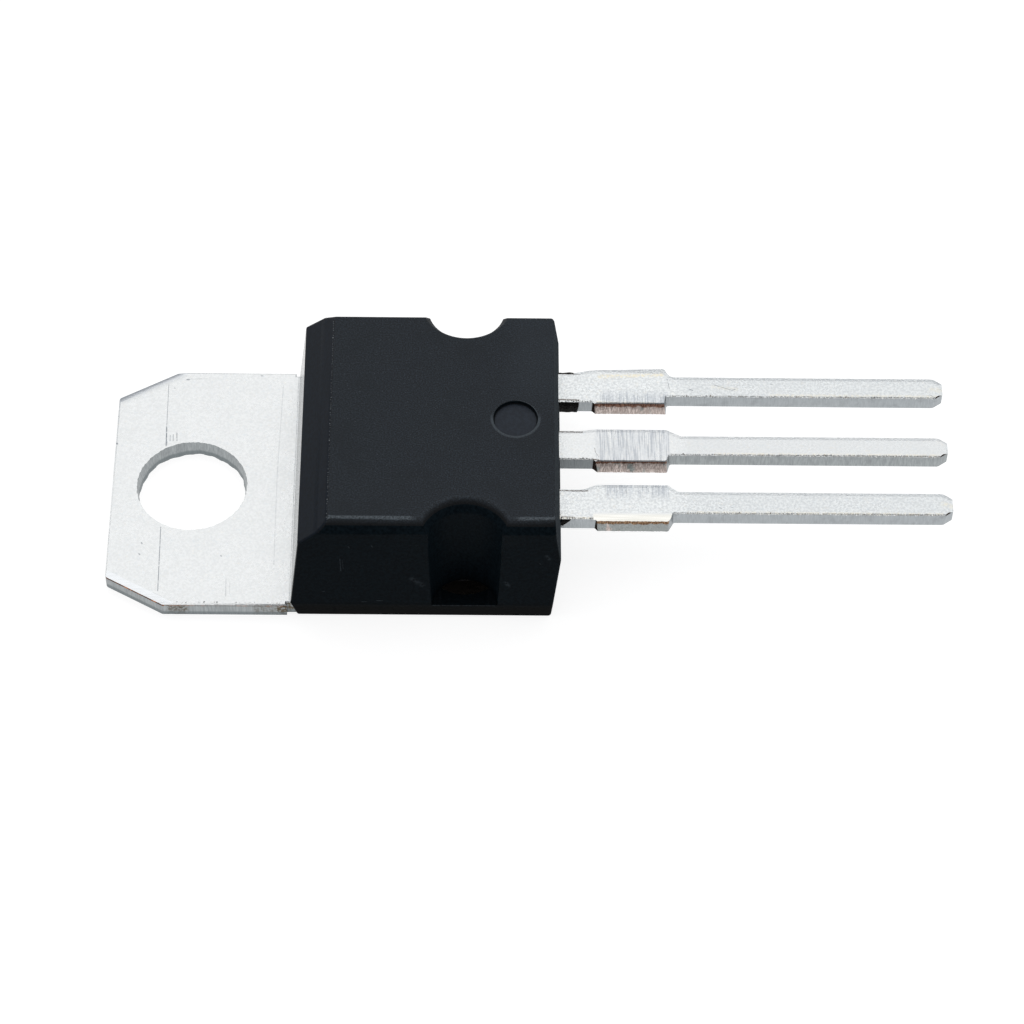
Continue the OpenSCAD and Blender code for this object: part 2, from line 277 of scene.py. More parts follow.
def lead_corners(middle, inner, near, far, near_step=0.08, near_slope=0.08, near_corner=0.14,
                 far_slope=0.5, far_neck=0.55, far_lean=0, bar_flare=0.12):
    """Corners of a lead outside the body; inner holds those of its part inside the body."""
    corners = [
        Corner(bar_x0 - near_step, -near.neck, 0.03, near_roll, 0, lead_flare),
        Corner(bar_x0, -near.bar, 0.03, bar_roll, torn, bar_flare),
        Corner(bar_x1, -near.bar, near_corner, bar_roll, 0, lead_flare),
        Corner(bar_x1 + near_slope, -near.pin, 0.04, near_roll, 0, lead_flare),
        Corner(lead_tip - tip_run, -near.pin, 0.14, 0),
        Corner(lead_tip, -near.pin + tip_cut, 0.08, 0),
        Corner(lead_tip, far.pin - tip_cut, 0.08, 0),
        Corner(lead_tip - tip_run, far.pin, 0.14, far_roll),
        Corner(bar_x1 + far_slope, far.pin, 0.3, far_roll),
        Corner(bar_x1, far.bar + far_lean, 0.1, far_roll),
        Corner(bar_x0, far.bar, 0.2, far_roll),
        Corner(bar_x0 - far_neck, far.neck, 0.4, far_roll),
    ]
    before = [corner for corner in inner if corner.y < 0]
    after = [corner for corner in inner if corner.y > 0]
    return [corner._replace(y=corner.y + middle) for corner in before + corners + after]


def point_tip(blade, middle, near, far):
    """Presses the slopes that give a lead's end its point."""
    low, high = middle - near.pin, middle + far.pin
    places = [(lead_tip - tip_run, low), (lead_tip, low + tip_cut)]
    places += [(lead_tip, high - tip_cut), (lead_tip - tip_run, high)]
    for a, b, slope in zip(places, places[1:], tip_slopes):
        reach = (Vector(b) - Vector(a)) * 0.5
        combine(blade, "DIFFERENCE", coining_tool(Vector(a) - reach, Vector(b) + reach, lead_top, *slope))


def stub(inner_x, near, far):
    """Corners of a lead's plain inner end."""
    return [Corner(inner_x, -near.neck, 0, near_roll, 0, lead_flare), Corner(inner_x, far.neck, 0, near_roll)]


drain = stamped("tinned_drain_frame", tab_corners(), frame_low.z, tab_top)
for side, coin_t in ((-1, near_coin_t), (1, far_coin_t)):
    cut_start = Vector((frame_low.x, side * (half_tab - cut_depth)))
    cut_end = Vector((frame_low.x + cut_len, side * half_tab))
    reach = (cut_end - cut_start) * 0.3
    ends = [cut_start - reach, cut_end + reach][::-side]
    combine(drain, "DIFFERENCE", coining_tool(*ends, tab_top, cut_coin_w, coin_t))
drain_near, drain_far = Widths(0.605, 0.68, 0.395), Widths(0.635, 0.71, 0.44)
drain_stub = stub(body_high.x - joggle_flat / 2, drain_near, drain_far)
drain_blade = stamped("blade", lead_corners(0, drain_stub, drain_near, drain_far), lead_bottom, lead_top, 11)
point_tip(drain_blade, 0, drain_near, drain_far)
combine(drain, "UNION", joggle(), drain_blade)

# The hole is punched from the back. It is widest at the front, where the copper broke in fine teeth,
# and its wall closes in towards a wavy back edge. Each level has its height, how much wider than the
# hole it is, and its share of the waves and of the teeth.
draw = random.Random(5)
hole_turn = [math.tau * k / 180 for k in range(180)]
ragged = [
    0.02 * math.sin(7 * a + 1) + 0.012 * math.sin(23 * a + 2) + draw.uniform(0, 0.01) for a in hole_turn
]
teeth = [draw.uniform(-0.015, 0.015) for _ in hole_turn]
hole_levels = [
    (frame_low.z - 1, -0.06, 1, 0), (frame_low.z, -0.06, 1, 0), (0.12, -0.05, 0.8, 0), (0.3, -0.02, 0.2, 0),
    (tab_top - 0.05, 0, 0, 0.2), (tab_top, 0.008, 0, 1), (tab_top + 0.05, 0.018, 0, 1),
]
hole_rings = []
for height, wider, share, jagged in hole_levels:
    radii = [hole_r + wider - rag * share + tooth * jagged for rag, tooth in zip(ragged, teeth)]
    hole_rings.append([(r * math.cos(a), r * math.sin(a), height) for r, a in zip(radii, hole_turn)])
combine(drain, "DIFFERENCE", loft("punch", hole_rings))


def linear(code):
    """An sRGB hex colour as linear red, green, blue and alpha."""
    parts = [int(code[i:i + 2], 16) / 255 for i in (1, 3, 5)]
    return [p / 12.92 if p <= 0.04045 else ((p + 0.055) / 1.055) ** 2.4 for p in parts] + [1]


def add(tree, kind, inputs=(), output=None, **settings):
    """Adds a node with its settings, gives its inputs values or links, and hands back one output."""
    made = tree.nodes.new(kind)
    for name, value in settings.items():
        setattr(made, name, value)
    ready = [socket for socket in made.inputs if socket.enabled]
    for name, value in inputs.items() if isinstance(inputs, dict) else enumerate(inputs):
        socket = ready[name] if isinstance(name, int) else next(s for s in ready if s.name == name)
        if isinstance(value, bpy.types.NodeSocket):
            tree.links.new(value, socket)
        else:
            socket.default_value = value
    return next((s for s in made.outputs if s.enabled and output in (None, s.name)), None)


def start_material(name):
    """A material's node tree, emptied, with the point's place on the object in millimetres."""
    made = bpy.data.materials.new(name)
    made.use_nodes = True
    tree = made.node_tree
    tree.nodes.clear()
    place = {"Vector": add(tree, "ShaderNodeTexCoord", output="Object"), "Scale": PER_METRE}
    return made, tree, add(tree, "ShaderNodeVectorMath", place, operation="SCALE")


def blotches(place, size, low, high, stretch=(1, 1, 1), seed=(0, 0, 0), detail=2.0):
    """Mask of uneven blotches about size millimetres wide, drawn out along the stretched axes."""
    tree = place.id_data
    scale = [1 / (size * s) for s in stretch]
    moved = add(tree, "ShaderNodeMapping", {"Vector": place, "Location": seed, "Scale": scale})
    inputs = {"Vector": moved, "Scale": 1.0, "Detail": detail, "Roughness": 0.6}
    inputs = {"Value": add(tree, "ShaderNodeTexNoise", inputs), "From Min": low, "From Max": high}
    return add(tree, "ShaderNodeMapRange", inputs, interpolation_type="SMOOTHSTEP")


def within(value, low, high, fade):
    """Mask that is 1 where a value lies between two limits and fades out beside them."""
    tree = value.id_data
    rise = {"Value": value, "From Min": low - fade, "From Max": low}
    fall = {"Value": value, "From Min": high + fade, "From Max": high}
    ends = [add(tree, "ShaderNodeMapRange", end, interpolation_type="SMOOTHSTEP") for end in (rise, fall)]
    return add(tree, "ShaderNodeMath", ends, operation="MULTIPLY")


def layer(tree, under, over, *masks):
    """A colour with another one laid over it where all masks are 1. A number among them is a strength."""
    share = masks[0]
    for mask in masks[1:]:
        share = add(tree, "ShaderNodeMath", (share, mask), operation="MULTIPLY")
    under, over = (linear(colour) if isinstance(colour, str) else colour for colour in (under, over))
    return add(tree, "ShaderNodeMix", {"Factor": share, "A": under, "B": over}, data_type="RGBA")


def marks(place, lines, plane=(1, 1, 0)):
    """Mask of straight scratches in a plane: (from, from, to, to, half width, strength)."""
    tree = place.id_data
    flat = add(tree, "ShaderNodeVectorMath", (place, plane), operation="MULTIPLY")
    total = 0.0
    for a0, b0, a1, b1, width, strength in lines:
        start = Vector((a0, b0, 0)) if plane[1] else Vector((a0, 0, b0))
        run = (Vector((a1, b1, 0)) if plane[1] else Vector((a1, 0, b1))) - start
        away = add(tree, "ShaderNodeVectorMath", (flat, start), operation="SUBTRACT")
        along = (away, run / run.length_squared)
        share = add(tree, "ShaderNodeVectorMath", along, "Value", operation="DOT_PRODUCT")
        share = add(tree, "ShaderNodeClamp", (share,))
        nearest = add(tree, "ShaderNodeVectorMath", {"Vector": run, "Scale": share}, operation="SCALE")
        off = add(tree, "ShaderNodeVectorMath", (away, nearest), "Value", operation="DISTANCE")
        inputs = {"Value": off, "From Min": width, "From Max": 0.0, "To Max": strength}
        line = add(tree, "ShaderNodeMapRange", inputs, interpolation_type="SMOOTHSTEP")
        total = add(tree, "ShaderNodeMath", (total, line), operation="MAXIMUM")
    return total


def close_material(made, tree, height, depth, **inputs):
    """Joins a material's colour, gloss and relief, depth millimetres deep, in its surface shader."""
    named = {name.replace("_", " "): value for name, value in inputs.items()}
    relief = {"Height": height, "Distance": depth / PER_METRE, "Strength": 1.0}
    named["Normal"] = add(tree, "ShaderNodeBump", relief)
    surface = add(tree, "ShaderNodeBsdfPrincipled", named)
    add(tree, "ShaderNodeOutputMaterial", {"Surface": surface})
    return made


def tin_plate(name, scratches, resin, sallow, scuffs, pale="#e0e3e3", deep="#c7cacb"):
    """Matte tin, electroplated: a satin grey-white with a fine grain that breaks up its shine.
    The real grain of a few micrometres is drawn at 0.08 mm, so that it shows. It is scratched on the
    front, scuffed by the trim tool, stained by resin and sallow along some edges. Painted shade makes
    the pins greyer towards their tips and the ears dark in the notches, and on the drain it lies as a
    broad line along the far corner cut, among the scratches."""
    made, tree, place = start_material(name)
    x, y, z = add(tree, "ShaderNodeSeparateXYZ", (place,)).node.outputs
    grain = blotches(place, 0.08, 0.3, 0.7, detail=1.5)
    tin = layer(tree, deep, pale, grain)
    tin = layer(tree, tin, "#c9d3da", blotches(place, 0.11, 0.56, 0.74, seed=(2, 9, 4)), 0.3)
    tin = layer(tree, tin, "#e6dccb", blotches(place, 0.12, 0.58, 0.76, seed=(4, 1, 7)), 0.25)
    # Painted shade: the tin is laid a shade greyer towards the pin tips.
    tin = layer(tree, tin, "#b3b8bb", within(x, bar_x1 + 1.0, lead_tip, 1.0), 0.2)
    spots = blotches(place, 0.09, 0.35, 0.6, seed=(6, 2, 1))
    tin = layer(tree, tin, "#e3dac0", marks(place, sallow), spots, 0.6)
    rough = add(tree, "ShaderNodeMath", (blotches(place, 0.9, 0.2, 0.8, detail=3.0), 0.06, 0.25),
                operation="MULTIPLY_ADD")
    facing = add(tree, "ShaderNodeNewGeometry", output="Normal")
    front = within(add(tree, "ShaderNodeSeparateXYZ", (facing,), "Z"), 0.5, 1.1, 0.1)
    line = add(tree, "ShaderNodeMath", (marks(place, scratches), front), operation="MULTIPLY")
    tin = layer(tree, tin, "#656c74", line, blotches(place, 0.12, 0.25, 0.5))
    height = add(tree, "ShaderNodeMath", (line, -1.5, grain), operation="MULTIPLY_ADD")
    y0, y1, fade, x0, x1 = scuffs
    where = (within(y, y0, y1, fade), within(x, x0, x1, 0.15))
    where = add(tree, "ShaderNodeMath", where, operation="MULTIPLY")
    broad = blotches(place, 0.13, 0.3, 0.7, stretch=(1, 9, 1), seed=(5, 5, 5))
    fine = blotches(place, 0.035, 0.48, 0.6, stretch=(1, 30, 6))
    fine = add(tree, "ShaderNodeMath", (where, fine), operation="MULTIPLY")
    tin = layer(tree, tin, "#a6adb8", where, broad, 0.3)
    tin = layer(tree, tin, "#858d98", fine, 0.45)
    height = add(tree, "ShaderNodeMath", (fine, -0.8, height), operation="MULTIPLY_ADD")
    tin = layer(tree, tin, "#4a3c30", marks(place, resin), blotches(place, 0.07, 0.3, 0.5), 0.9)
    # Painted shade: the ears' front faces deep in the notches are laid dark.
    aside = add(tree, "ShaderNodeMath", (y,), operation="ABSOLUTE")
    tin = layer(tree, tin, "#4d4741", within(aside, ear_y + 0.78, half_tab + 0.15, 0.1),
                within(x, notch_x - 1.3, notch_x + 1.3, 0.1),
                within(z, tab_top - 0.05, tab_top + 0.05, 0.02))
    return close_material(made, tree, height, 0.003, Base_Color=tin, Metallic=1.0, Roughness=rough)


def coined_tin(name, deep, pale, inner=0.0, shaded_lines=()):
    """Tin pressed smooth by the coining tool: brighter and more even than the matte face, with drag lines.
    It grows out of the matte tin from the inner distance off the middle line, and painted shade lies along
    the given lines."""
    made, tree, place = start_material(name)
    aside = add(tree, "ShaderNodeSeparateXYZ", (place,), "Y")
    aside = add(tree, "ShaderNodeMath", (aside,), operation="ABSOLUTE")
    drag = blotches(place, 0.06, 0.3, 0.7, stretch=(30, 1, 1))
    pressed = add(tree, "ShaderNodeMapRange", {"Value": aside, "From Min": inner, "From Max": inner + 0.13})
    tin = layer(tree, "#d2d5d6", layer(tree, deep, pale, drag), pressed)
    # Painted shade along the given lines.
    tin = layer(tree, tin, "#656c74", marks(place, shaded_lines))
    return close_material(made, tree, drag, 0.002, Base_Color=tin, Metallic=1.0, Roughness=0.24)


def punched_edge(name, pale, deep, stains=(), torn_edge=()):
    """Tin over the punched edge: the shear burnished the copper, so it is greyer, with fine upright lines.
    The drain frame's is duller by the bar, darker along its foot with painted shade, and brown where the near
    corner cut was torn."""
    made, tree, place = start_material(name)
    upright = blotches(place, 0.04, 0.25, 0.75, stretch=(1, 1, 14))
    grey = layer(tree, deep, pale, upright)
    grey = layer(tree, grey, "#84878a", blotches(place, 0.35, 0.5, 0.75), 0.35)
    if torn_edge:
        x, _, z = add(tree, "ShaderNodeSeparateXYZ", (place,)).node.outputs
        grey = layer(tree, grey, "#7b8083", within(x, notch_x + 1.6, bar_x0 - 0.1, 0.2), 0.7)
        soft = blotches(place, 0.12, 0.32, 0.66)
        grey = layer(tree, grey, "#5c5344", marks(place, stains), soft)
        # Painted shade along the foot of the edge, next to the table.
        grey = layer(tree, grey, "#6d7578", within(z, 0.0, 0.14, 0.1), 0.7)
        strip = within(z, tab_top - near_coin_t - 0.07, tab_top, 0.015)
        brown = layer(tree, "#4b2f20", "#a8683c", blotches(place, 0.2, 0.5, 0.62, seed=(0, 3, 0)))
        spread = blotches(place, 0.1, 0.25, 0.4)
        grey = layer(tree, grey, brown, strip, marks(place, torn_edge), spread)
    return close_material(made, tree, upright, 0.003, Base_Color=grey, Metallic=1.0, Roughness=0.4)


def sheared_copper(name, smeared, torn_t, smear="#a0a5a3", brown_deep="#6b4d40", brown_pale="#ab8674"):
    """Copper bared by the trim tool: brown where it tore at the front, and pinkish grey below, where tin
    is smeared over it. The torn part is torn_t high, and a lower smeared has more tin."""
    made, tree, place = start_material(name)
    z = add(tree, "ShaderNodeSeparateXYZ", (place,), "Z")
    upright = blotches(place, 0.04, 0.35, 0.65, stretch=(1, 1, 9))
    pink = layer(tree, "#b9aba5", "#e6dad4", upright)
    pink = layer(tree, pink, smear, blotches(place, 0.4, smeared, smeared - 0.14, (1, 1, 2), (1, 2, 3)))
    uneven = blotches(place, 0.2, 0.2, 0.8, seed=(8, 1, 1))
    edge = add(tree, "ShaderNodeMath", (uneven, 0.09, lead_top - torn_t), operation="MULTIPLY_ADD")
    above = add(tree, "ShaderNodeMath", (z, edge), operation="SUBTRACT")
    strip = add(tree, "ShaderNodeMapRange", {"Value": above, "From Min": -0.02, "From Max": 0.02})
    copper = layer(tree, pink, layer(tree, brown_deep, brown_pale, upright), strip)
    return close_material(made, tree, upright, 0.01, Base_Color=copper, Metallic=1.0, Roughness=0.5)


def shaded_torn_burr():
    """Torn copper in the corner where the stump begins: oxidised brown and rough, and laid nearly black
    as painted shade of that small step.
    """
    made, tree, place = start_material("oxidised_burr_and_shade")
    crumbs = blotches(place, 0.05, 0.3, 0.7)
    brown = layer(tree, "#15110f", "#4a3125", crumbs)
    return close_material(made, tree, crumbs, 0.015, Base_Color=brown, Metallic=0.6, Roughness=0.6)


sharp_from = math.radians(38)


def finish_piece(made, finishes, rule):
    """Scales a mesh to metres, lets rule pick each face's finish by its middle and normal, and smooths it."""
    mesh = made.data
    mesh.materials.clear()
    for finish in finishes:
        mesh.materials.append(finish)
    for face in mesh.polygons:
        face.material_index = rule(face.center, face.normal)
        face.use_smooth = True
    mesh.transform(Matrix.Scale(1 / PER_METRE, 4))
    mesh.set_sharp_from_angle(angle=sharp_from)
    smooth = made.modifiers.new("weighted", "WEIGHTED_NORMAL")
    smooth.keep_sharp = True
    smooth.weight = 90
    settle(made)


TIN, EDGE, SHEARED, COINED, BURR_AND_SHADE = range(5)


def strip_rule(centre, normal):
    """Finish of one face of the stamped strip, by where it lies and which way it looks."""
    on_bar = bar_x0 - 0.2 < centre.x < bar_x1 + 0.05
    if centre.x > lead_tip - tip_run - 0.05 and 0.6 < normal.z < 0.8:
        return BURR_AND_SHADE
    if 0.9 < normal.z < 0.995 and (centre.x < frame_low.x + cut_len or on_bar and centre.y < -pitch - 0.25):
        return COINED
    if abs(normal.z) > 0.5:
        return TIN
    # The step where the stump begins takes the burr finish, whose black is partly painted shade.
    if on_bar and normal.x < -0.3 and centre.x < bar_x0 + 0.01 and normal.y < 0:
        return BURR_AND_SHADE
    if bar_x0 < centre.x < bar_x1 and abs(normal.y) > 0.5:
        return SHEARED
    return EDGE


# Marks on the tab's front face: scribed lines across it, short smears by the hole, scratches and pits.
# One broad mark of painted shade lies along the far corner cut, on the matte and the coined tin, for the dark
# that its slope mirrors.
far_cut_shade = (frame_low.x, half_tab - cut_depth, frame_low.x + cut_len, half_tab, 0.42, 0.5)
near_cut = (frame_low.x, -half_tab + cut_depth, frame_low.x + cut_len, -half_tab, 0.1, 1.5)
tab_scratches_and_shade = [
    far_cut_shade,
    (-1.05, 4.48, -1.02, 2.6, 0.022, 0.65), (-1.02, 2.6, -0.99, 1.74, 0.036, 0.95),
    (-0.99, 1.9, -1.0, 1.76, 0.06, 0.7), (-0.98, -1.8, -0.93, -4.5, 0.024, 0.85),
    (-0.87, 2.2, -0.87, 1.96, 0.03, 0.5), (-0.77, 2.24, -0.76, 1.97, 0.03, 0.5),
    (-0.65, 2.34, -0.63, 1.97, 0.03, 0.7), (3.0, 4.49, 2.93, 0.49, 0.03, 0.22),
    (2.93, 0.49, 2.96, -3.35, 0.03, 0.2), (1.36, -4.0, 1.38, -4.7, 0.02, 0.45),
    (1.5, -4.1, 1.5, -4.6, 0.02, 0.25), (-0.4, 4.75, 0.3, 4.77, 0.02, 0.4),
    (-0.42, 4.72, -0.34, 4.72, 0.04, 0.8), (-0.85, 4.34, -0.82, 4.32, 0.04, 0.5),
    (-1.6, -2.47, -1.58, -2.52, 0.04, 0.7), (-1.66, -2.95, -1.63, -2.98, 0.04, 0.7),
    (1.14, -3.0, 1.16, -3.02, 0.04, 0.7), (-2.73, 1.86, -2.7, 1.81, 0.05, 0.9),
    (2.2, 4.92, 2.26, 4.92, 0.03, 0.8), (body_low.x - 0.03, 4.95, body_low.x - 0.03, -4.9, 0.025, 0.4),
    (-2.55, -3.9, -0.75, -4.74, 0.02, 0.25),
]
drain_resin = [
    (12.62, 0.59, 13.45, 0.58, 0.055, 1.0), (12.62, -0.585, 13.7, -0.59, 0.02, 0.6),
    (13.87, -0.12, 13.89, -0.3, 0.018, 0.9), (13.89, -0.3, 14.0, -0.5, 0.018, 0.8),
    (13.82, -0.6, 14.0, -0.64, 0.04, 1.0),
]
edge_stains = [
    (-0.5, -half_tab, 0.0, -half_tab, 0.2, 0.9), (2.4, -half_tab, 3.1, -half_tab, 0.15, 0.5),
    (3.25, -half_tab, 3.65, -half_tab, 0.3, 1.6),
]
torn_cut = [near_cut, (frame_low.x + cut_len, -half_tab, 3.6, -half_tab, 0.1, 0.3)]
drain_sallow = [(18.0, -0.33, 25.6, -0.33, 0.08, 0.7)]
# Where the trim tool scuffed a lead: from and to across it, the fade there, and from and to along it.
drain_scuffs = (-1.9, half_tab, 0.1, 14.0, 16.35)
burr_and_shade_finish = shaded_torn_burr()
tab_finishes = [
    tin_plate("matte_tin_drain", tab_scratches_and_shade, drain_resin, drain_sallow, drain_scuffs,
              "#dddfdf", "#d4d6d6"),
    punched_edge("punched_edge_drain", "#adb2b3", "#93989a", edge_stains, torn_cut),
    sheared_copper("sheared_copper_drain", 0.5, 0.15),
    coined_tin("coined_tab_tin", "#d9dcde", "#e2e5e7", shaded_lines=[far_cut_shade]),
    burr_and_shade_finish,
]
finish_piece(drain, tab_finishes, strip_rule)
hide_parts("drain_frame")
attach(drain, "root")


# ------------------------------------------------
# Outer leads: the same strip as the drain frame, cut free from it. The gate's is on the near side
# and the source's on the far side. Inside the body each widens to a plate for its bond wires. The tie
# bar that joined the three was sheared off after plating, which leaves bare copper on its stumps.
# ------------------------------------------------
post_len = 1.5
bar_coin_w, bar_coin_t, coin_lead = 0.3, 0.07, 0.12


def post(low, high, near, far):
    """Corners of the bond plate at a lead's inner end."""
    half, inner_x, outer_x = (high.y - low.y) / 2, low.x, low.x + post_len
    places = [(inner_x, -half), (outer_x, -half), (outer_x, -near.neck)]
    places += [(outer_x, far.neck), (outer_x, half), (inner_x, half)]
    corners = [Corner(*place, 0, near_roll) for place in places]
    corners[2] = corners[2]._replace(flare=lead_flare)
    return corners


def outer_lead(name, seed, plate, middle, near, far, coined_y, **shape):
    """Stamped lead with its bond plate and pointed tip, coined along the outer edge of its tie-bar stump."""
    made = stamped(name, lead_corners(middle, plate, near, far, **shape), lead_bottom, lead_top, seed)
    point_tip(made, middle, near, far)
    ends = [(bar_x0 - coin_lead, coined_y), (bar_x1 + coin_lead, coined_y)]
    ends = ends[::-1] if coined_y > middle else ends
    combine(made, "DIFFERENCE", coining_tool(*ends, lead_top, bar_coin_w, bar_coin_t))
    return made


gate_near, gate_far = Widths(0.6, 0.64, 0.35), Widths(0.66, 0.86, 0.58)
gate = outer_lead(
    "tinned_gate_lead", 21, post(gate_low, gate_high, gate_near, gate_far), -pitch, gate_near, gate_far,
    -pitch - gate_near.bar, near_step=0.03, near_slope=0.15, near_corner=0.16, far_slope=0.34, far_neck=0.42
)
source_near, source_far = Widths(0.635, 0.7, 0.375), Widths(0.65, 0.8, 0.5)
source = outer_lead(
    "tinned_source_lead", 31, post(source_low, source_high, source_near, source_far), pitch, source_near,
    source_far, pitch + source_far.bar + 0.08, near_step=0.07, near_slope=0.03, near_corner=0.04,
    far_slope=0.18, far_neck=0.7, far_lean=0.1, bar_flare=0.09
)

gate_scratches = [
    (18.05, -2.63, 18.12, -2.66, 0.03, 0.6), (20.95, -2.08, 21.02, -2.09, 0.03, 0.5),
    (18.45, -2.61, 18.5, -2.62, 0.02, 0.6),
]
gate_resin = [
    (12.62, -1.94, 13.6, -1.96, 0.055, 1.0), (12.62, -3.06, 13.15, -3.08, 0.035, 0.8),
    (12.66, -1.95, 12.66, -3.0, 0.02, 0.4),
]
gate_sallow = [
    (17.0, -2.84, 25.6, -2.84, 0.08, 0.8), (12.65, -3.1, 13.9, -3.1, 0.06, 0.9),
    (25.6, -2.4, 25.9, -2.5, 0.15, 0.8),
]
source_scratches = [
    (18.05, 2.69, 18.62, 2.47, 0.02, 0.7), (18.65, 2.45, 18.77, 2.5, 0.03, 0.7),
    (20.01, 2.73, 20.07, 2.72, 0.03, 0.6), (17.2, 2.48, 17.3, 2.44, 0.035, 0.8),
    (16.42, 2.95, 16.5, 2.5, 0.02, 0.7), (25.5, 2.33, 25.68, 2.19, 0.015, 0.7),
]
source_resin = [
    (12.56, 3.14, 13.2, 3.14, 0.04, 1.0), (13.2, 3.14, 13.4, 3.1, 0.02, 0.9),
    (12.62, 1.99, 13.35, 1.97, 0.05, 1.0),
]
source_sallow = [
    (14.1, 3.02, 16.25, 3.12, 0.13, 1.4), (14.0, 1.9, 16.0, 1.88, 0.06, 0.8),
    (20.0, 2.25, 25.7, 2.25, 0.09, 0.7), (18.0, 2.6, 18.8, 2.5, 0.12, 0.5),
    (25.6, 2.6, 25.9, 2.5, 0.15, 0.8),
]
gate_scuffs = (-pitch + 0.55, half_tab, 0.45, 14.3, 16.3)
source_scuffs = (-half_tab, pitch - 0.45, 0.45, 14.2, 16.35)
gate_tin = tin_plate("matte_tin_gate", gate_scratches, gate_resin, gate_sallow, gate_scuffs)
gate_copper = sheared_copper("sheared_copper_gate", 0.72, 0.23, "#a9adac", "#694f3c", "#ae8e70")
source_tin = tin_plate("matte_tin_source", source_scratches, source_resin, source_sallow, source_scuffs)
source_copper = sheared_copper("sheared_copper_source", 0.44, 0.21)
lead_edge = punched_edge("punched_edge_lead", "#b2b7ba", "#a4a9ac")
bar_coin = coined_tin("coined_bar_tin", "#dddcd5", "#ecebe5", pitch + 0.32)
for lead, node, matte, bared in (
    (gate, "gate_lead", gate_tin, gate_copper), (source, "source_lead", source_tin, source_copper)
):
    finish_piece(lead, [matte, lead_edge, bared, bar_coin, burr_and_shade_finish], strip_rule)
    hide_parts(node)
    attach(lead, "root")


# ------------------------------------------------
# Tin nodules: plating current crowds at a sharp edge, so tin builds up there in small bright lumps.
# They sit in a broken row along the near front edges of the tab, the necks and the pins.
# ------------------------------------------------
def row_of_grains():
    """Node tree that strings grains along lines: evenly spaced, then moved, turned and sized at random."""
    tree = bpy.data.node_groups.new("row_of_grains", "GeometryNodeTree")
    sockets = [("Lines", "Geometry"), ("Spacing", "Float"), ("Radius", "Float"), ("Scatter", "Float"),
               ("Seed", "Int"), ("Finish", "Material")]
    for label, kind in sockets:
        tree.interface.new_socket(label, in_out="INPUT", socket_type="NodeSocket" + kind)
    tree.interface.new_socket("Grains", in_out="OUTPUT", socket_type="NodeSocketGeometry")
    given = add(tree, "NodeGroupInput").node.outputs
    line = add(tree, "GeometryNodeMeshToCurve", {"Mesh": given["Lines"]})
    line = add(tree, "GeometryNodeResampleCurve", {"Curve": line, "Length": given["Spacing"]}, mode="LENGTH")
    jump = {"Min": (-1, -1, -1), "Max": (1, 1, 1), "Seed": given["Seed"]}
    jump = add(tree, "FunctionNodeRandomValue", jump, data_type="FLOAT_VECTOR")
    jump = add(tree, "ShaderNodeVectorMath", {"Vector": jump, "Scale": given["Scatter"]}, operation="SCALE")
    line = add(tree, "GeometryNodeSetPosition", {"Geometry": line, "Offset": jump})
    grain = add(tree, "GeometryNodeMeshIcoSphere", {"Radius": given["Radius"], "Subdivisions": 1})
    second = add(tree, "ShaderNodeMath", (given["Seed"], 1), operation="ADD")
    turn = {"Min": (0, 0, 0), "Max": (math.tau,) * 3, "Seed": second}
    turn = add(tree, "FunctionNodeRandomValue", turn, data_type="FLOAT_VECTOR")
    size = {"Min": (0.5, 0.5, 0.4), "Max": (1, 1, 0.8), "Seed": second}
    size = add(tree, "FunctionNodeRandomValue", size, data_type="FLOAT_VECTOR")
    strung = {"Points": line, "Instance": grain, "Rotation": turn, "Scale": size}
    grains = add(tree, "GeometryNodeInstanceOnPoints", strung)
    grains = add(tree, "GeometryNodeRealizeInstances", {"Geometry": grains})
    grains = add(tree, "GeometryNodeSetMaterial", {"Geometry": grains, "Material": given["Finish"]})
    add(tree, "NodeGroupOutput", {"Grains": grains})
    return tree


grain_tree = row_of_grains()


def grains_along(name, paths, **values):
    """Plain mesh of grains along paths, scaled to metres."""
    points, edges = [], []
    for path in paths:
        edges += [(len(points) + k, len(points) + k + 1) for k in range(len(path) - 1)]
        points += path
    mesh = bpy.data.meshes.new(name)
    mesh.from_pydata(points, edges, [])
    made = placed(name, mesh)
    step = made.modifiers.new("grains", "NODES")
    step.node_group = grain_tree
    for socket in grain_tree.interface.items_tree:
        if socket.name in values:
            step[socket.identifier] = values[socket.name]
    settle(made)
    made.data.transform(Matrix.Scale(1 / PER_METRE, 4))
    return made


def nodule_tin():
    """Nodules of plated tin: rounder and brighter than the flat plating, and a few are brown with oxide."""
    made, tree, place = start_material("tin_nodules")
    tint = blotches(place, 0.09, 0.3, 0.7)
    tin = layer(tree, "#cdd0d2", "#fbfbf8", tint)
    tin = layer(tree, tin, "#a58f78", blotches(place, 0.13, 0.6, 0.66, seed=(3, 1, 2)), 0.7)
    return close_material(made, tree, tint, 0.002, Base_Color=tin, Metallic=1.0, Roughness=0.3)


tab_y, tab_z = -half_tab + 0.085, tab_top - 0.036
lead_in, lead_down = 0.03, 0.015
nodule_paths = [[(-0.6, tab_y, tab_z), (body_low.x - 0.2, tab_y, tab_z)]]
for middle, near in ((-pitch, gate_near), (0, drain_near), (pitch, source_near)):
    neck_y, pin_y, edge_z = middle - near.neck + lead_in, middle - near.pin + lead_in, lead_top - lead_down
    nodule_paths.append([(body_high.x + 0.05, neck_y, edge_z), (bar_x0 - 0.12, neck_y, edge_z)])
    nodule_paths.append([(bar_x1 + 0.2, pin_y, edge_z), (lead_tip - tip_run - 0.1, pin_y, edge_z)])
nodules = grains_along(
    "tin_nodules", nodule_paths, Spacing=0.09, Radius=0.05, Scatter=0.02, Seed=4, Finish=nodule_tin()
)
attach(nodules, "root")


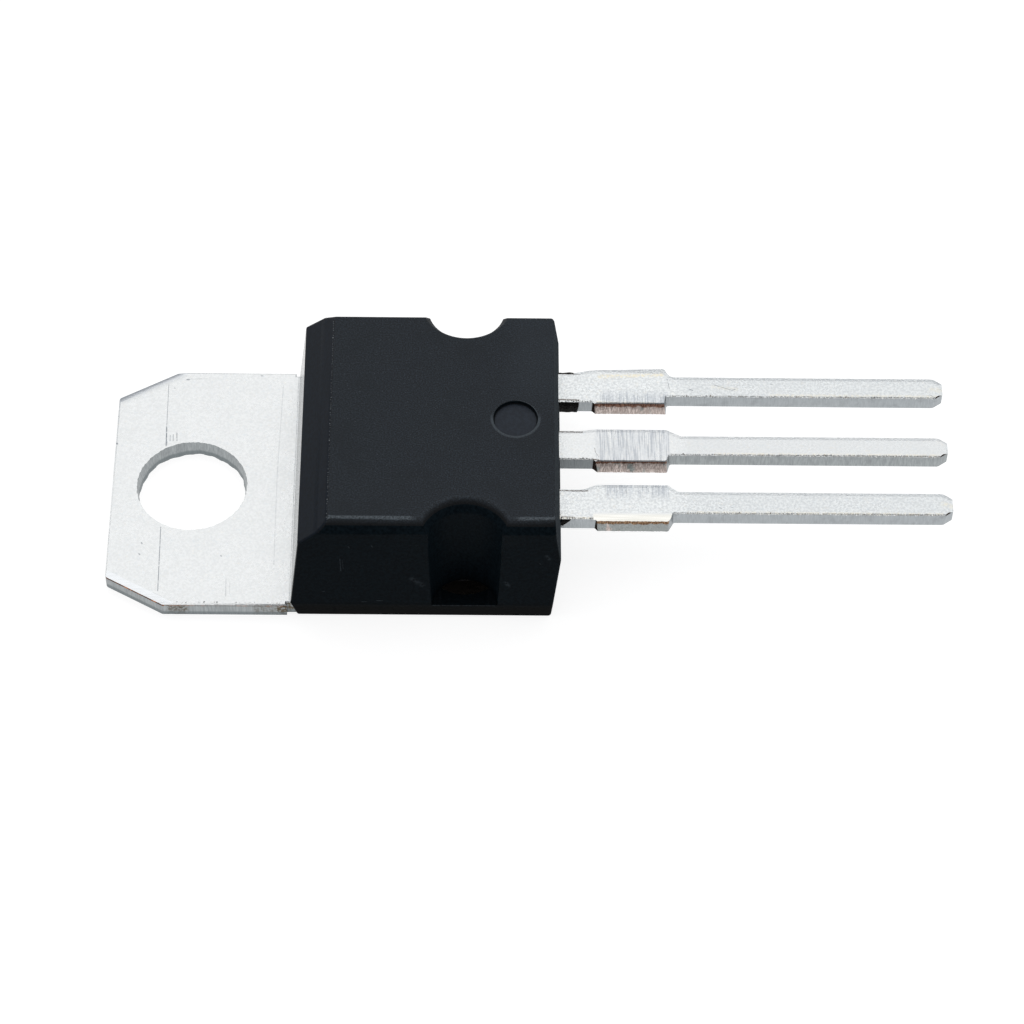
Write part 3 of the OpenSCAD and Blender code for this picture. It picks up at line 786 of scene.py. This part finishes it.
# ------------------------------------------------
# Die, its solder and the bond wires: closed in by the body, so the CAD nodes stay as they are.
# A silicon chip is soldered to the pad, and drawn aluminium wires are pressed on by ultrasound.
# ------------------------------------------------
def soft_solder():
    """Reflowed lead-free solder: dull grey with a frosted, slightly lumpy skin."""
    made, tree, place = start_material("reflowed_solder")
    frost = blotches(place, 0.06, 0.3, 0.7, detail=3.0)
    grey = layer(tree, "#9da0a0", "#c2c4c3", frost)
    return close_material(made, tree, frost, 0.006, Base_Color=grey, Metallic=1.0, Roughness=0.5)


def silicon():
    """Silicon chip under glassy passivation: dark blue-grey, smooth, with the faint lines of its cells."""
    made, tree, place = start_material("passivated_silicon")
    rows = {"Vector": place, "Scale": 3.0, "Distortion": 0.0}
    rows = add(tree, "ShaderNodeTexWave", rows, "Fac", bands_direction="Y")
    grey = layer(tree, "#4a5059", "#7b838c", rows, 0.5)
    haze = (blotches(place, 0.5, 0.2, 0.8), 0.06, 0.18)
    haze = add(tree, "ShaderNodeMath", haze, operation="MULTIPLY_ADD")
    return close_material(made, tree, rows, 0.001, Base_Color=grey, Metallic=0.3, Roughness=haze)


def drawn_aluminium():
    """Drawn aluminium wire: bright, with fine drawing lines that follow it."""
    made, tree, place = start_material("drawn_aluminium")
    lines = blotches(place, 0.03, 0.2, 0.8, stretch=(12, 1, 1))
    bright = layer(tree, "#cfd1d3", "#e8e9ea", lines)
    return close_material(made, tree, lines, 0.002, Base_Color=bright, Metallic=1.0, Roughness=0.28)


wire_metal = drawn_aluminium()
inside = {
    "die_solder": soft_solder(), "mosfet_die": silicon(),
    "source_wire_inner": wire_metal, "source_wire_outer": wire_metal, "gate_wire": wire_metal,
}
for node, finish in inside.items():
    kept = frame["nodes"][node].data.materials
    kept.clear()
    kept.append(finish)


# ------------------------------------------------
# Moulded body: black epoxy, pressed into a steel mould round the lead frame.
# The front of the cavity is spark-eroded, which leaves the fine grey grain there. The side walls
# are polished and drafted, so that the part lets go, and an ejector pin leaves its round mark.
# ------------------------------------------------
side_draft, tab_draft = math.radians(5.5), math.radians(6.1)
front_draft, back_draft = math.radians(7.6), math.radians(5.6)
skirt_side, parting_out = 0.005, 0.04
bevel_drop, bevel_run = 0.9, 1.03
edge_drop, near_run, far_run, near_soft, far_soft = 0.36, 0.31, 0.24, 0.42, 0.1
notch_r, notch_draft, notch_steps = 1.12, math.radians(3.2), 36
ejector_r, ejector_depth, ejector_back = 0.74, 0.14, 1.5
corner_r = 0.09


def profile(points, radii):
    """Line of a wall as (across, height), from the back up, each inner point rounded by its radius."""
    line = []
    for before, point, after, radius in zip(points, points[1:], points[2:], radii):
        line += rounded(point, before, after, radius, 6)
    return line


top, back = body_high.z, body_low.z
# Each wall's line starts and ends this far in, under the part's back and front faces.
far_in = 2.0
lead_mid = (lead_bottom + lead_top) / 2
bevel_z, edge_z = top - bevel_drop, top - edge_drop
bevel_x = body_low.x + (bevel_z - tab_top) * math.tan(tab_draft)
edge_y = body_high.y - (edge_z - tab_top) * math.tan(side_draft)
parting_x = body_high.x + parting_out
lead_back_x = parting_x - lead_mid * math.tan(back_draft)
lead_top_x = parting_x - (top - lead_mid) * math.tan(front_draft)
notch_top_r = notch_r + (edge_z - tab_top) * math.tan(notch_draft)
tab_wall = profile(
    [(body_low.x + far_in, back), (body_low.x + skirt_step, back), (body_low.x, tab_top), (bevel_x, bevel_z),
     (bevel_x + bevel_run, top), (bevel_x + bevel_run + far_in, top)], (0.03, 0.03, 0.06, 0.05))
lead_wall = profile(
    [(body_high.x - far_in, back), (lead_back_x, back), (parting_x, lead_mid), (lead_top_x, top),
     (lead_top_x - far_in, top)], (0.05, 0.03, 0.03))
walls = {}
for facing, run, soft in ((-1, near_run, near_soft), (1, far_run, far_soft)):
    side_points = [(body_high.y - far_in, back), (body_high.y - skirt_side, back), (body_high.y, tab_top),
                   (edge_y, edge_z), (edge_y - run, top), (edge_y - far_in, top)]
    bay_points = [(notch_r, tab_top - 1), (notch_r, tab_top), (notch_top_r, edge_z), (notch_top_r + run, top),
                  (notch_top_r + far_in, top)]
    walls[facing] = profile(side_points, (0.015, 0.03, 0.05, soft)), profile(bay_points, (0.001, 0.2, soft))


def across(line, height):
    """Where a wall's line is at one height."""
    return float(np.interp(height, [p[1] for p in line], [p[0] for p in line]))


def body_outline(height, open_notches):
    """Outline of the body at one height. Below the notches their points lie on the straight side."""
    x0, x1 = across(tab_wall, height), across(lead_wall, height)
    sides = []
    for facing in (-1, 1):
        half, radius = across(walls[facing][0], height), across(walls[facing][1], max(height, tab_top))
        start = math.pi - math.asin((notch_y - half) / radius)
        bay = arc((notch_x, -notch_y), radius, start, math.pi - start, notch_steps)
        row = [Corner(x0, -half, corner_r)] + [Corner(x, y if open_notches else -half) for x, y in bay]
        row += [Corner(x1, -half, corner_r)]
        sides.append([corner._replace(y=-facing * corner.y) for corner in row])
    return outline(sides[0] + sides[1][::-1], height, steps=4)


heights = sorted({round(p[1], 4) for line in (tab_wall, lead_wall, *walls[-1], *walls[1]) for p in line})
levels, least_step = [heights[0]], 0.004
for height in heights:
    if height - levels[-1] > least_step and back < height < top:
        levels.append(height)
levels += [top]
floor_at = min(levels, key=lambda height: abs(height - tab_top))
rings = [body_outline(height, False) for height in levels if height < floor_at]
rings += [body_outline(tab_top, False), body_outline(tab_top, True)]
rings += [body_outline(height, True) for height in levels if height > floor_at]
body = loft("epoxy_body", rings)

ejector_x = body_high.x - ejector_back
mark_floor = top - ejector_depth
mark_levels = [
    (mark_floor, -0.03), (mark_floor + 0.03, 0), (top - 0.035, 0), (top - 0.012, 0.012), (top, 0.04),
    (top + 0.05, 0.2),
]
combine(body, "DIFFERENCE", loft("ejector", [
    [(x, y, height) for x, y in arc((ejector_x, 0), ejector_r + wider, 0, math.tau, 72)[:-1]]
    for height, wider in mark_levels
]))


flash_root, flash_low, flash_high = body_high.x - 0.15, lead_bottom - 0.05, lead_top - 0.05


def flash(name, seed, reach, outer, inner, low=flash_low, high=flash_high):
    """Thin torn web of resin that squeezed out beside a lead: reach is how far it goes at back and front."""
    draw = random.Random(seed)
    steps = 9
    free = [outer + draw.uniform(-0.02, 0.02) for _ in range(steps + 1)]
    rings = []
    for share in (0, 0.15, 0.5, 0.85, 1):
        x1 = reach[0] + (reach[1] - reach[0]) * share + draw.uniform(-0.02, 0.02)
        thin = 0.3 if share in (0, 1) else 0
        across_lead = enumerate(y + (inner - y) * thin for y in free)
        ring = [(flash_root + (x1 - flash_root) * k / steps, y) for k, y in across_lead]
        ring += [(x, inner) for x, _ in reversed(ring)]
        rings.append([(x, y, low + (high - low) * share + draw.uniform(-0.01, 0.01)) for x, y in ring])
    return loft(name, rings)


source_inner, source_outer = pitch - source_near.neck, pitch + source_far.neck
gate_inner = -pitch - gate_near.neck
combine(
    body, "UNION",
    flash("flash_source", 3, (13.28, 13.36), source_inner - 0.07, source_inner + 0.05),
    flash("flash_source_far", 4, (12.9, 13.2), source_outer + 0.04, source_outer - 0.05,
          flash_low + 0.12, flash_high + 0.03),
    flash("flash_gate", 6, (12.62, 13.05), gate_inner - 0.04, gate_inner + 0.05),
)


def solid_copy(piece):
    """Closed copy of a piece's mesh in millimetres."""
    made = piece.copy()
    made.data = piece.data.copy()
    made.parent = None
    made.data.materials.clear()
    made.data.transform(Matrix.Scale(PER_METRE, 4))
    shape = bmesh.new()
    shape.from_mesh(made.data)
    bmesh.ops.remove_doubles(shape, verts=shape.verts, dist=1e-5)
    shape.to_mesh(made.data)
    shape.free()
    for key in list(made.keys()):
        del made[key]
    bpy.context.scene.collection.objects.link(made)
    return made


kept_inside = [frame["nodes"][node] for node in inside]
combine(body, "DIFFERENCE", *[solid_copy(each) for each in (drain, gate, source, *kept_inside)])


def spark_eroded():
    """Epoxy from the spark-eroded wall: matte dark grey, where each small pit scatters a little light.
    The near front edge is paler except at the notch, partly rubbed by handling and partly a painted
    highlight. The ejector mark's near rim has a painted highlight, and the steeper slopes of the edges
    are laid nearly black as painted shade."""
    made, tree, place = start_material("spark_eroded_epoxy")
    pits = blotches(place, 0.05, 0.35, 0.7)
    grey = layer(tree, "#0f151a", "#262f38", pits)
    grey = layer(tree, grey, "#141b21", blotches(place, 1.6, 0.5, 0.7, seed=(4, 4, 4), detail=3.0), 0.5)
    grey = layer(tree, grey, "#454e56", blotches(place, 0.06, 0.64, 0.72, seed=(1, 8, 2)), 0.7)
    x, y, _ = add(tree, "ShaderNodeSeparateXYZ", (place,)).node.outputs
    by_end = within(x, notch_x + 2.13, body_high.x + 0.35, 1.2)
    grey = layer(tree, grey, "#3d464e", by_end, within(y, 1.8, 6.0, 1.5), 0.12)
    # Painted highlight on the ejector mark's near rim, broken into crumbs.
    rim = add(tree, "ShaderNodeVectorMath", (place, (1, 1, 0)), operation="MULTIPLY")
    rim = add(tree, "ShaderNodeVectorMath", (rim, (ejector_x, 0, 0)), "Value", operation="DISTANCE")
    rim = within(rim, ejector_r + 0.03, ejector_r + 0.08, 0.06)
    crumbs = blotches(place, 0.05, 0.1, 0.6, seed=(3, 1, 1))
    grey = layer(tree, grey, "#5a636a", rim, within(y, -1.0, -0.1, 0.4), crumbs, 0.45)
    # Paler band where the near front edge rounds over: partly rubbed by handling, partly a painted highlight.
    facing = add(tree, "ShaderNodeNewGeometry", output="Normal")
    _, ny, nz = add(tree, "ShaderNodeSeparateXYZ", (facing,)).node.outputs
    turned = within(ny, -0.24, -0.1, 0.1)
    kept = (within(x, notch_x - 1.6, notch_x + 1.6, 0.3), -0.9, 1.0)
    kept = add(tree, "ShaderNodeMath", kept, operation="MULTIPLY_ADD")
    grey = layer(tree, grey, "#6a737a", turned, kept, blotches(place, 0.05, 0.2, 0.7, detail=3.0), 0.66)
    # Painted shade: the steeper slopes of the front's edges are laid nearly black.
    grey = layer(tree, grey, "#080c10", within(nz, -1.0, 0.75, 0.22))
    return close_material(made, tree, pits, 0.006, Base_Color=grey, Roughness=0.55, Specular_IOR_Level=0.2)


def lapped_bevel():
    """Epoxy from the lapped slope of the mould at the tab's end: darker and smoother than the front."""
    made, tree, place = start_material("lapped_epoxy")
    drag = blotches(place, 0.07, 0.2, 0.8, stretch=(1, 2, 1))
    grey = layer(tree, "#050d16", "#0c1824", drag)
    grey = layer(tree, grey, "#262e36", blotches(place, 0.05, 0.7, 0.78, seed=(2, 2, 2)), 0.5)
    return close_material(made, tree, drag, 0.001, Base_Color=grey, Roughness=0.5, Specular_IOR_Level=0.15)


def polished_wall(name, deep, pale, rough, level, rubs=()):
    """Epoxy from the polished walls: nearly black and smooth, with painted shade at the foot, faint rubs
    from the mould and any scratches from handling that are given. A higher level is glossier."""
    made, tree, place = start_material(name)
    swirl = blotches(place, 0.1, 0.3, 0.7)
    rub = blotches(place, 0.3, 0.6, 0.8, stretch=(1, 1, 2.5), seed=(3, 3, 3), detail=4.0)
    black = layer(tree, deep, pale, swirl)
    black = layer(tree, black, "#22292e", rub, 0.3)
    z = add(tree, "ShaderNodeSeparateXYZ", (place,), "Z")
    # Painted shade along the foot of the walls, next to the table.
    black = layer(tree, black, "#010202", within(z, -1.0, 0.4, 0.4), 0.9)
    scratches = marks(place, rubs, (1, 0, 1))
    black = layer(tree, black, "#5b646b", scratches, blotches(place, 0.1, 0.3, 0.6))
    gloss = add(tree, "ShaderNodeMath", (rub, 0.12, rough), operation="MULTIPLY_ADD")
    shine = {"Roughness": gloss, "Specular_IOR_Level": level}
    return close_material(made, tree, swirl, 0.003, Base_Color=black, **shine)


def torn_resin():
    """Resin that squeezed past the mould and tore: black, rough and crumbly, with pale crumbs on its edge."""
    made, tree, place = start_material("torn_resin")
    crumbs = blotches(place, 0.06, 0.3, 0.7)
    black = layer(tree, "#060708", "#14110f", crumbs)
    return close_material(made, tree, crumbs, 0.02, Base_Color=black, Roughness=0.6, Specular_IOR_Level=0.15)


# Rubs on the side walls: upright scratches, scuffs and small nicks. Their places are along the part and
# in height only, so the far wall has the same ones as the near wall.
wall_rubs = [
    (5.3, 2.9, 5.32, 2.3, 0.03, 0.45), (5.38, 2.8, 5.4, 2.4, 0.025, 0.3), (5.6, 3.5, 5.62, 3.45, 0.04, 0.6),
    (6.37, 3.54, 6.39, 3.5, 0.04, 0.7), (6.0, 0.73, 6.2, 0.75, 0.025, 0.4), (6.5, 0.8, 6.7, 0.79, 0.025, 0.6),
    (7.7, 1.9, 8.05, 1.6, 0.16, 0.3), (10.85, 1.75, 10.95, 1.6, 0.12, 0.35),
    (11.95, 2.75, 12.0, 2.7, 0.03, 0.6), (12.2, 3.1, 12.28, 2.95, 0.1, 0.35),
    (4.6, 1.2, 4.75, 1.25, 0.03, 0.35), (8.4, 0.57, 10.5, 0.57, 0.025, 0.5),
]
GRAIN, WALL, MARK, BEVEL, END, FLASH, DULL = range(7)


def body_rule(centre, normal):
    """Finish of one face of the body, by the part of the mould that it lay against."""
    if centre.x > parting_x + 0.01:
        return FLASH
    if normal.z > 0.9 and mark_floor - 0.01 < centre.z < mark_floor + 0.03:
        return MARK
    if centre.z > bevel_z and centre.x < bevel_x + bevel_run - 0.02 and normal.x < -0.3:
        return BEVEL
    if normal.z > 0.67 and centre.z > tab_top + 1:
        return GRAIN
    if normal.x > 0.8 and centre.x > lead_top_x - 0.02:
        return DULL
    return END if normal.x < -0.8 and centre.x < bevel_x + 0.02 else WALL


# The walls differ in their polish: the sides are nearly black and satin, the floor of the ejector mark
# is bluer, the wall under the bevel is glossy, and the lead end is rubbed pale and matte.
finish_piece(
    body,
    [spark_eroded(), polished_wall("polished_epoxy", "#080f14", "#121c22", 0.5, 0.03, wall_rubs),
     polished_wall("ejector_polish", "#161e28", "#1e2732", 0.45, 0.2), lapped_bevel(),
     polished_wall("glossy_epoxy", "#06090b", "#0a0e11", 0.12, 0.5), torn_resin(),
     polished_wall("worn_end_epoxy", "#40464a", "#545a5f", 0.8, 0.0)],
    body_rule,
)
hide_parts("moulded_body")
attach(body, "root")


# ------------------------------------------------
# Bared filler: the epoxy is full of ground silica, and where an edge is rubbed the grains show pale.
# They are strung along the upper edge of the bevel at the tab's end.
# ------------------------------------------------
def silica_filler():
    """Ground silica in the worn skin of the epoxy: small matte grey-white grains."""
    made, tree, place = start_material("silica_filler")
    tint = blotches(place, 0.2, 0.3, 0.7)
    grey = layer(tree, "#3c4247", "#848a8e", tint)
    return close_material(made, tree, tint, 0.002, Base_Color=grey, Roughness=0.6, Specular_IOR_Level=0.3)


worn_x, worn_y, worn_z = bevel_x + bevel_run - 0.035, edge_y - near_run - 0.05, top - 0.045
filler = grains_along(
    "bared_filler", [[(worn_x, -worn_y, worn_z), (worn_x, worn_y, worn_z)]],
    Spacing=0.08, Radius=0.03, Scatter=0.012, Seed=9, Finish=silica_filler(),
)
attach(filler, "root")


# ------------------------------------------------
# Stage: a plain white table under one large soft light, and the camera over the near side.
# The light hangs above and beyond the far side, so the near walls and the leads' sides lie in shade.
# ------------------------------------------------
def table_white():
    """Matte white table. What the camera and reflections see is lifted to white, and shadows stay."""
    made, tree, _ = start_material("white_table")
    rays = add(tree, "ShaderNodeLightPath").node.outputs
    seen = add(tree, "ShaderNodeMath", (rays["Is Camera Ray"], rays["Is Glossy Ray"]), operation="MAXIMUM")
    seen = add(tree, "ShaderNodeMath", (seen, rays["Is Transmission Ray"]), operation="MAXIMUM")
    matte = add(tree, "ShaderNodeBsdfDiffuse", {"Color": linear("#a0a0a0")})
    strength = add(tree, "ShaderNodeMath", (seen, 0.82), operation="MULTIPLY")
    glow = add(tree, "ShaderNodeEmission", {"Strength": strength})
    add(tree, "ShaderNodeOutputMaterial", {"Surface": add(tree, "ShaderNodeAddShader", (matte, glow))})
    return made


table_half, table_gap = 4.0, 0.00002
table_mesh = bpy.data.meshes.new("table")
table_corners = [(-table_half, -table_half, 0), (table_half, -table_half, 0)]
table_corners += [(table_half, table_half, 0), (-table_half, table_half, 0)]
table_mesh.from_pydata(table_corners, [], [(0, 1, 2, 3)])
table_mesh.materials.append(table_white())
table = placed("table", table_mesh)
table.location.z = cad_low.z - table_gap

# The room is mid grey, with a low white backdrop behind the table.
world = bpy.data.worlds.new("studio")
world.use_nodes = True
room = world.node_tree
room.nodes.clear()
way = add(room, "ShaderNodeSeparateXYZ", (add(room, "ShaderNodeTexCoord", output="Generated"),)).node.outputs
behind = add(room, "ShaderNodeMapRange", {"Value": way["Y"], "From Min": 0.3, "From Max": 0.8})
low = add(room, "ShaderNodeMapRange", {"Value": way["Z"], "From Min": 0.5, "From Max": 0.4})
room_colour = layer(room, "#88888a", "#d2d4d8", behind, low)
surround = add(room, "ShaderNodeBackground", {"Color": room_colour, "Strength": 1.0})
add(room, "ShaderNodeOutputWorld", {"Surface": surround})
bpy.context.scene.world = world

middle = (cad_low + cad_high) / 2
lamp_width, lamp_reach, lamp_height, lamp_back, lamp_radiance = 0.7, 0.58, 0.26, 0.21, 1.0
lamp_data = bpy.data.lights.new("softbox", "AREA")
lamp_data.shape, lamp_data.size, lamp_data.size_y = "RECTANGLE", lamp_width, lamp_reach
lamp_data.energy = lamp_radiance * math.pi * lamp_width * lamp_reach
lamp = placed("softbox", lamp_data)
lamp.location = middle + Vector((0, lamp_back, lamp_height))

azimuth, elevation, roll = (math.radians(angle) for angle in (-1.212, 52.997, 1.410))
sight = Vector((0.011093, -0.000587, 0))
distance = 0.12570
away = Vector((math.sin(azimuth), -math.cos(azimuth), math.tan(elevation))) * math.cos(elevation)
camera_data = bpy.data.cameras.new("camera")
camera_data.sensor_width, camera_data.lens = 36, 127.3
camera_data.clip_start, camera_data.clip_end = 0.01, 20
camera = placed("camera", camera_data)
camera.matrix_world = (
    Matrix.Translation(sight + away * distance)
    @ (-away).to_track_quat("-Z", "Y").to_matrix().to_4x4()
    @ Matrix.Rotation(roll, 4, "Z")
)
bpy.context.scene.camera = camera
bpy.context.scene.view_settings.view_transform = "Standard"
